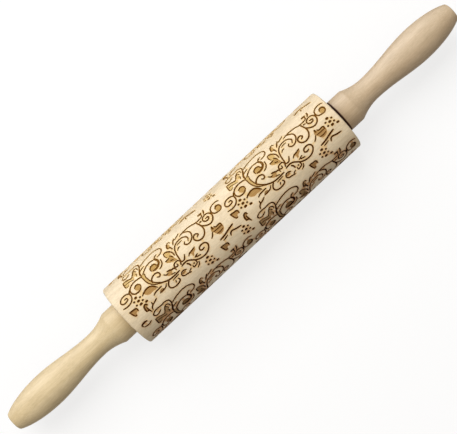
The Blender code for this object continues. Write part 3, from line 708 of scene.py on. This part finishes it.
def add_wood_grain(tree, base, shade, flecks, seed, speckle):
    """Colour of fine-grained pale wood, and the noise of its fibres.

    Soft bands run from the base colour to the shade. Fine fibres, clouds and specks, which are as
    strong as speckle says, vary it, and short dark ray flecks lie on top.
    """
    bands = stretched_noise(tree, along=7, across=150, detail=3, roughness=0.55, offset=(seed, 0, 0))
    fibres = stretched_noise(tree, along=60, across=1900, detail=4, roughness=0.6, offset=(0, seed, 0))
    rays = stretched_noise(tree, along=420, across=4200, detail=1, offset=(0, 0, seed))
    clouds = stretched_noise(tree, along=70, across=190, detail=2, roughness=0.6, offset=(seed, seed, 0))
    specks = stretched_noise(tree, along=480, across=950, detail=2, roughness=0.6, offset=(0, seed, seed))
    colour = add_mix(tree, add_steps(tree, bands, band_steps), (*base, 1), (*shade, 1))
    colour = add_mix(tree, 1.0, colour, add_steps(tree, fibres, fibre_steps), "MULTIPLY")
    colour = add_mix(tree, 1.0, colour, add_steps(tree, clouds, cloud_steps), "MULTIPLY")
    speck_tone = add_maths(tree, "MULTIPLY_ADD", specks, speckle, 1 - speckle / 2)
    colour = add_mix(tree, 1.0, colour, speck_tone, "MULTIPLY")
    fleck_amount = add_maths(tree, "MULTIPLY", add_steps(tree, rays, fleck_steps), fleck_strength)
    return add_mix(tree, fleck_amount, colour, (*flecks, 1)), fibres


# How deep a point lies under the skin, as a share of the lines' depth, tells how far the laser has
# burnt it. The carving's floors carry the hatch of the laser's passes and an uneven char.
hatch_pitch = 0.00135
hatch_turns = round(barrel_girth / hatch_pitch)
hatch_strength = 0.10
hatch_tone = (0.05, 0.018, 0.005, 1)
char_reach = 0.30
burn_steps = (
    (0.00, (0.66, 0.43, 0.18)),
    (0.12, (0.56, 0.34, 0.12)),
    (0.28, (0.68, 0.46, 0.225)),
    (0.40, (0.54, 0.335, 0.140)),
    (0.60, (0.50, 0.298, 0.118)),
    (0.80, (0.225, 0.096, 0.011)),
    (1.00, (0.180, 0.070, 0.008)),
)
barrel_wood, tree, shader = start_principled("barrel_wood")
skin_colour, fibres = add_wood_grain(
    tree,
    base=(0.815, 0.692, 0.500),
    shade=(0.780, 0.640, 0.437),
    flecks=(0.60, 0.38, 0.20),
    seed=3.1,
    speckle=0.30,
)
place = add_node(tree, "ShaderNodeTexCoord", output="Object")
apart = tree.nodes.new("ShaderNodeSeparateXYZ")
tree.links.new(place, apart.inputs[0])
side_squared = add_maths(tree, "MULTIPLY", apart.outputs["Y"], apart.outputs["Y"])
up_squared = add_maths(tree, "MULTIPLY", apart.outputs["Z"], apart.outputs["Z"])
from_axis = add_maths(tree, "SQRT", add_maths(tree, "ADD", side_squared, up_squared))
depth = add_maths(tree, "SUBTRACT", barrel_radius, from_axis)
depth_share = add_maths(tree, "DIVIDE", depth, line_depth)
angle = add_maths(tree, "ARCTAN2", apart.outputs["Y"], apart.outputs["Z"])
hatch = add_maths(tree, "SINE", add_maths(tree, "MULTIPLY", angle, hatch_turns))
char = stretched_noise(tree, along=500, across=700, detail=3, roughness=0.6, offset=(9, 4, 2))
char_shift = add_maths(tree, "MULTIPLY_ADD", char, char_reach, -char_reach / 2)
burn_colour = add_steps(tree, add_maths(tree, "ADD", depth_share, char_shift), burn_steps)
hatch_amount = add_maths(tree, "MULTIPLY_ADD", hatch, hatch_strength, hatch_strength)
burn_colour = add_mix(tree, hatch_amount, burn_colour, hatch_tone)

# Painted light and shade on the burn: its lines are painted golden on the +Y side and nearly black on
# the -Y side. The floors of the leaves, petals and stem lie within two bands of depth, and take half as
# much of this painted shade.
shaded_side_share = add_fade(tree, apart.outputs["Y"], barrel_radius, -barrel_radius)
side_shade_steps = (
    (0.05, (1.22, 1.28, 1.15)),
    (0.19, (1.22, 1.34, 1.00)),
    (0.27, (1.05, 1.08, 0.62)),
    (0.50, (0.75, 0.64, 0.40)),
    (0.64, (0.55, 0.41, 0.24)),
    (0.75, (0.36, 0.22, 0.10)),
    (0.87, (0.16, 0.07, 0.03)),
    (1.00, (0.10, 0.05, 0.02)),
)
half = (0.5, 0.5, 0.5)
floor_band = ((-0.03, full), (-0.015, half), (0.07, half), (0.085, full))
floor_steps = [
    (floor_depth / line_depth + shift, amount)
    for floor_depth in (faint_depth, hollow_depth)
    for shift, amount in floor_band
]
# Painted shade towards -Y and painted light towards +Y, multiplied into the burn's colour
side_shade_tone = add_steps(tree, shaded_side_share, side_shade_steps)
side_shade_amount = add_steps(tree, depth_share, floor_steps)
burn_colour = add_mix(tree, side_shade_amount, burn_colour, side_shade_tone, "MULTIPLY")

# Only the carving is burnt, and not the plain skin, the bore or the barrel's end faces
skin_share = 0.02
burnt_share = 0.14
last_burnt_share = 1.3
bore_share = 1.6
burn_end = (barrel_right - barrel_left) / 2 - barrel_edge_rounding
burn_end_fade = 0.0002
from_middle = add_maths(tree, "ABSOLUTE", add_maths(tree, "SUBTRACT", apart.outputs["X"], barrel_middle))
within_carving = add_fade(tree, depth_share, skin_share, burnt_share)
outside_bore = add_fade(tree, depth_share, bore_share, last_burnt_share)
away_from_ends = add_fade(tree, from_middle, burn_end, burn_end - burn_end_fade)
burnt = add_maths(tree, "MULTIPLY", within_carving, outside_bore)
burnt = add_maths(tree, "MULTIPLY", burnt, away_from_ends)

# The laser's heat has toasted the skin next to the carving, golden on the +Y side. Towards the -Y side
# this toast is painted brown as shade round the barrel.
halo_falloff = 3.0
halo_strength = 0.85
halo_and_shade_steps = ((0.45, (1.0, 0.87, 0.60)), (0.70, (0.95, 0.76, 0.52)), (0.87, (0.66, 0.40, 0.22)))
scorch = add_node(tree, "ShaderNodeAttribute", output="Fac", attribute_name="scorch")
halo = add_maths(tree, "MULTIPLY", add_maths(tree, "POWER", scorch, halo_falloff), halo_strength)
skin_colour = add_mix(tree, halo, skin_colour, add_steps(tree, shaded_side_share, halo_and_shade_steps), "MULTIPLY")
tree.links.new(add_mix(tree, burnt, skin_colour, burn_colour), shader.inputs["Base Color"])

# Oiled skin has a faint sheen, and the charred floors have none
skin_roughness = 0.50
burn_roughening = 0.50
hatch_height = 0.5
roughness = add_maths(tree, "MULTIPLY_ADD", burnt, burn_roughening, skin_roughness)
tree.links.new(roughness, shader.inputs["Roughness"])
shader.inputs["Specular IOR Level"].default_value = 0.12
hatch_relief = add_maths(tree, "MULTIPLY", hatch, burnt)
relief = add_maths(tree, "MULTIPLY_ADD", hatch_relief, hatch_height, fibres)
add_relief(tree, shader, relief, strength=0.35, reach=0.00006)


def add_object(name, data):
    """A new object in the scene."""
    thing = bpy.data.objects.new(name, data)
    bpy.context.scene.collection.objects.link(thing)
    return thing


def finish_piece(shape, name, material, body, node):
    """Make a bmesh a smooth-shaded piece that stands for a CAD node."""
    mesh = finished_mesh(shape, name)
    mesh.shade_smooth()
    mesh.set_sharp_from_angle(angle=crease_angle)
    mesh.materials.append(material)
    piece = add_object(name, mesh)
    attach(piece, body)
    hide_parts(node)


finish_piece(barrel_mesh, "carved_barrel", barrel_wood, "barrel", "barrel")


# Handles
# Two turned grips of the same outline: a collar against the barrel, a waist, a swell for the palm and
# a rounded end cut flat. They are glued on the ends of the axle. One piece of wood is yellower.

handle_low, handle_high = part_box("right_handle")
handle_length = handle_high[0] - handle_low[0]
collar_radius = 0.01325
collar_length = 0.012
collar_edge_rounding = 0.0005
collar_shoulder_rounding = 0.004
neck_radius = 0.0092
neck_place = 0.0295
grip_radius = 0.0131
grip_place = 0.076
tip_radius = 0.0069
tip_edge_rounding = 0.0012
axle_hold = 0.0403
axle_bore_radius = 0.0043
handle_sides = 96
cove_steps = 14
swell_steps = 30
tip_steps = 22


def handle_outline():
    """Half the handle's section from its bore's floor to its tip, with x from the face by the barrel."""
    corners = [
        (axle_hold, 0, 0),
        (axle_hold, axle_bore_radius, 0),
        (0, axle_bore_radius, 0),
        (0, collar_radius, collar_edge_rounding),
        (collar_length, collar_radius, collar_shoulder_rounding),
    ]
    for step in range(1, cove_steps + 1):
        along = step / cove_steps
        x = collar_length + (neck_place - collar_length) * along
        corners.append((x, neck_radius + (collar_radius - neck_radius) * (1 - along) ** 2, 0))
    for step in range(1, swell_steps + 1):
        along = step / swell_steps
        x = neck_place + (grip_place - neck_place) * along
        swell = (1 - math.cos(math.pi * along)) / 2
        corners.append((x, neck_radius + (grip_radius - neck_radius) * swell, 0))
    tip_angle = math.acos(tip_radius / grip_radius)
    for step in range(1, tip_steps + 1):
        turn = tip_angle * step / tip_steps
        x = grip_place + (handle_length - grip_place) * math.sin(turn) / math.sin(tip_angle)
        rounding = tip_edge_rounding if step == tip_steps else 0
        corners.append((x, grip_radius * math.cos(turn), rounding))
    corners.append((handle_length, 0, 0))
    return rounded_corners(corners)


# Painted shade: the collar darkens towards the barrel, which shades it, and the collar's face and the
# face's edge are painted nearly black as the shade in the gap by the washer
# Painted shade: the tone and reach of the nearly black band on the collar's face and edge
gap_shade_tone = (0.060, 0.017, 0.006, 1)
gap_shade_length = 0.0004
gap_shade_fade_end = 0.0009
collar_shade_length = 0.014
collar_shade_share = 0.8
collar_shade_tone = (0.84, 0.82, 0.78, 1)
handle_roughness = 0.58
gap_face_roughening = 0.4
turning_height = 0.8
handle_woods = {
    "left": {"base": (0.72, 0.585, 0.365), "shade": (0.655, 0.515, 0.295), "flecks": (0.48, 0.33, 0.15),
             "seed": 12.7, "speckle": 0.12},
    "right": {"base": (0.605, 0.475, 0.322), "shade": (0.54, 0.405, 0.26), "flecks": (0.39, 0.25, 0.14),
              "seed": 27.3, "speckle": 0.14},
}
for side, way in (("left", -1), ("right", 1)):
    low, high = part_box(side + "_handle")
    face_x = high[0] if side == "left" else low[0]
    outline = [(face_x + way * x, radius) for x, radius in handle_outline()]
    shape = lathe(outline, handle_sides)
    material, tree, shader = start_principled(side + "_handle_wood")
    colour, fibres = add_wood_grain(tree, **handle_woods[side])
    place = add_node(tree, "ShaderNodeTexCoord", output="Object")
    along = add_node(tree, "ShaderNodeSeparateXYZ", {"Vector": place})
    from_face = add_maths(tree, "MULTIPLY_ADD", along, way, -way * face_x)
    # Painted shade on the collar, darker towards its face by the barrel
    collar_shade_fade = add_fade(tree, from_face, collar_shade_length, 0.0)
    collar_shade = add_maths(tree, "MULTIPLY", collar_shade_fade, collar_shade_share)
    colour = add_mix(tree, collar_shade, colour, collar_shade_tone, "MULTIPLY")
    # Painted shade in the gap: the face and its edge are nearly black, and the same band is rougher
    gap_shade = add_fade(tree, from_face, gap_shade_fade_end, gap_shade_length)
    tree.links.new(add_mix(tree, gap_shade, colour, gap_shade_tone), shader.inputs["Base Color"])
    roughness = add_maths(tree, "MULTIPLY_ADD", gap_shade, gap_face_roughening, handle_roughness)
    tree.links.new(roughness, shader.inputs["Roughness"])
    shader.inputs["Specular IOR Level"].default_value = 0.3
    turning = stretched_noise(tree, along=2600, across=14, detail=2, offset=(5, 0, 0))
    relief = add_maths(tree, "MULTIPLY_ADD", turning, turning_height, fibres)
    add_relief(tree, shader, relief, strength=0.3, reach=0.00005)
    finish_piece(
        shape, side + "_turned_handle", material, "handles_and_axle", side + "_handle"
    )


# Axle
# A straight drawn steel rod with chamfered ends. It runs right through the barrel, and its ends are
# glued in the blind bores of both handles.

axle_radius = 0.004
axle_chamfer = 0.0006
axle_sides = 64
low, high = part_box("axle_rod")
shape = lathe(
    [
        (low[0], 0),
        (low[0], axle_radius - axle_chamfer),
        (low[0] + axle_chamfer, axle_radius),
        (high[0] - axle_chamfer, axle_radius),
        (high[0], axle_radius - axle_chamfer),
        (high[0], 0),
    ],
    axle_sides,
)

# Below the one level of its noise a finish is dark, and above the other it is light
dark_below = 0.3
light_above = 0.7


def mottled_finish(name, mottle, dark, light, smoothest, roughening):
    """A material whose tone and roughness both follow one noise, and that noise."""
    material, tree, shader = start_principled(name)
    noise = stretched_noise(tree, **mottle)
    tone = add_steps(tree, noise, ((dark_below, dark), (light_above, light)))
    tree.links.new(tone, shader.inputs["Base Color"])
    roughness = add_maths(tree, "MULTIPLY_ADD", noise, roughening, smoothest)
    tree.links.new(roughness, shader.inputs["Roughness"])
    return material, tree, shader, noise


drawn_steel, tree, shader, streaks = mottled_finish(
    "drawn_steel",
    {"along": 25, "across": 5200, "detail": 3, "roughness": 0.6},
    dark=(0.52, 0.52, 0.54),
    light=(0.66, 0.66, 0.68),
    smoothest=0.20,
    roughening=0.18,
)
shader.inputs["Metallic"].default_value = 1.0
add_relief(tree, shader, streaks, strength=0.2, reach=0.00001)
finish_piece(shape, "steel_axle", drawn_steel, "handles_and_axle", "axle_rod")


# Bushes
# Flanged bearings of natural nylon, moulded, and pressed into the barrel's ends. The axle turns in
# their bore, and their flanges keep the barrel off the washers.

running_radius = 0.0042
sleeve_radius = 0.0077
flange_radius = 0.0102
flange_thickness = 0.0015
mould_rounding = 0.00025
ring_sides = 96
nylon, tree, shader, _ = mottled_finish(
    "natural_nylon",
    {"along": 260, "across": 260, "detail": 3, "offset": (2, 7, 1)},
    dark=(0.77, 0.75, 0.69),
    light=(0.83, 0.81, 0.75),
    smoothest=0.34,
    roughening=0.16,
)
mould_skin = stretched_noise(tree, along=3000, across=3000, detail=2)
add_relief(tree, shader, mould_skin, strength=0.15, reach=0.00002)
for side, way in (("left", -1), ("right", 1)):
    low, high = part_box(side + "_bush")
    face_x, inner_x = (low[0], high[0]) if side == "left" else (high[0], low[0])
    corners = [
        (inner_x, running_radius, mould_rounding),
        (face_x, running_radius, mould_rounding),
        (face_x, flange_radius, mould_rounding),
        (face_x - way * flange_thickness, flange_radius, mould_rounding),
        (face_x - way * flange_thickness, sleeve_radius, 0),
        (inner_x, sleeve_radius, mould_rounding),
    ]
    shape = lathe(rounded_corners(corners), ring_sides, closed=True)
    finish_piece(shape, side + "_nylon_bush", nylon, "barrel", side + "_bush")


# Thrust washers
# Plain stamped steel rings, loose on the axle between bush and handle. They take the push along the
# axle, so that the handles' wood doesn't rub on the bushes.

washer_radius = 0.009
stamped_rounding = 0.00018
stamped_steel, tree, shader, brushing = mottled_finish(
    "stamped_steel",
    {"along": 900, "across": 2400, "detail": 3, "roughness": 0.6, "offset": (1, 3, 8)},
    dark=(0.58, 0.58, 0.59),
    light=(0.72, 0.72, 0.73),
    smoothest=0.24,
    roughening=0.20,
)
shader.inputs["Metallic"].default_value = 1.0
add_relief(tree, shader, brushing, strength=0.2, reach=0.00001)
for side in ("left", "right"):
    low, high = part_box(side + "_thrust_washer")
    corners = [
        (low[0], running_radius, stamped_rounding),
        (high[0], running_radius, stamped_rounding),
        (high[0], washer_radius, stamped_rounding),
        (low[0], washer_radius, stamped_rounding),
    ]
    shape = lathe(rounded_corners(corners), ring_sides, closed=True)
    finish_piece(
        shape, side + "_steel_washer", stamped_steel, "washers", side + "_thrust_washer"
    )


# Floor and light
# The pin lies on white paper. A broad soft lamp stands high on its upper left side in the photo, a
# low card on that side shows only as a sheen, and a weak warm light comes from all round.


def seen_directly(tree):
    """1 for what the camera sees, straight or by reflection, and 0 for the light that it gives the pin."""
    rays = tree.nodes.new("ShaderNodeLightPath").outputs
    mirrored = add_maths(tree, "MAXIMUM", rays["Is Glossy Ray"], rays["Is Transmission Ray"])
    return add_maths(tree, "MAXIMUM", rays["Is Camera Ray"], mirrored)


floor_gap = 0.0001
floor_place = barrel_low[2] - floor_gap
floor_size = 6.0
floor_shape = bmesh.new()
bmesh.ops.create_grid(floor_shape, x_segments=1, y_segments=1, size=floor_size / 2)
bmesh.ops.translate(floor_shape, verts=floor_shape.verts[:], vec=(0, 0, floor_place))
floor_mesh = finished_mesh(floor_shape, "floor")
floor = add_object("floor", floor_mesh)
floor_paper, tree, shader = start_principled("floor_paper")
white = (1, 1, 1, 1)
shadow_share = 0.25
seen = seen_directly(tree)
bounced_tone = (0.12, 0.12, 0.12, 1)
shadow_tone = (shadow_share, shadow_share, shadow_share, 1)
tree.links.new(add_mix(tree, seen, bounced_tone, shadow_tone), shader.inputs["Base Color"])
tree.links.new(add_maths(tree, "MULTIPLY", seen, 1 - shadow_share), shader.inputs["Emission Strength"])
shader.inputs["Emission Color"].default_value = white
shader.inputs["Roughness"].default_value = 1.0
shader.inputs["Specular IOR Level"].default_value = 0.0
floor_mesh.materials.append(floor_paper)

sky = bpy.data.worlds.new("studio")
sky.use_nodes = True
bpy.context.scene.world = sky
tree = sky.node_tree
fill_strength = 0.39
fill_tone = (1.0, 0.94, 0.86, 1)
seen = seen_directly(tree)
strength = add_node(tree, "ShaderNodeMapRange", {"Value": seen, "To Min": fill_strength, "To Max": 1.0})
tree.links.new(strength, tree.nodes["Background"].inputs["Strength"])
tree.links.new(add_mix(tree, seen, fill_tone, white), tree.nodes["Background"].inputs["Color"])


def aim(thing, place, target, up=(0, 0, 1)):
    """Put a lamp or camera at a place, looking at a target."""
    away = (Vector(place) - Vector(target)).normalized()
    right = Vector(up).cross(away).normalized()
    turned = Matrix((right, away.cross(right), away)).transposed().to_4x4()
    thing.matrix_world = Matrix.Translation(place) @ turned


def add_lamp(name, place, width, height, energy):
    """A rectangular lamp that looks at the pin's middle."""
    lamp_data = bpy.data.lights.new(name, "AREA")
    lamp_data.shape = "RECTANGLE"
    lamp_data.size = width
    lamp_data.size_y = height
    lamp_data.energy = energy
    lamp = add_object(name, lamp_data)
    aim(lamp, place, (0, 0, 0))
    return lamp


add_lamp("soft_lamp", place=(-0.1, 1.02, 1.27), width=1.6, height=1.4, energy=27.7)
# The card shows as a soft sheen on the woods, and gives them no other light
sheen_card = add_lamp("sheen_card", place=(-0.1, 1.6, 0.32), width=2.0, height=0.7, energy=85.0)
sheen_card.visible_diffuse = False


# Camera
# It looks straight down on the pin from the height of someone standing at the table, turned so that
# the right handle points to the upper right.

image_width = 457
image_height = 434
pin_middle_px = (232.8, 216.6)
axis_angle = math.radians(43.2)
pixels_per_metre = 1404.9
camera_height = 0.9
sensor_width = 36.0
camera_data = bpy.data.cameras.new("camera")
camera_data.sensor_fit = "HORIZONTAL"
camera_data.sensor_width = sensor_width
camera_data.lens = sensor_width * pixels_per_metre * camera_height / image_width
camera = add_object("camera", camera_data)
image_right = Vector((math.cos(axis_angle), -math.sin(axis_angle), 0))
image_up = Vector((math.sin(axis_angle), math.cos(axis_angle), 0))
off_middle = [
    (pin_middle_px[0] - image_width / 2) / pixels_per_metre,
    (image_height / 2 - pin_middle_px[1]) / pixels_per_metre,
]
below = -image_right * off_middle[0] - image_up * off_middle[1]
aim(camera, below + Vector((0, 0, camera_height)), below, image_up)
bpy.context.scene.camera = camera

bpy.context.scene.view_settings.view_transform = "Standard"
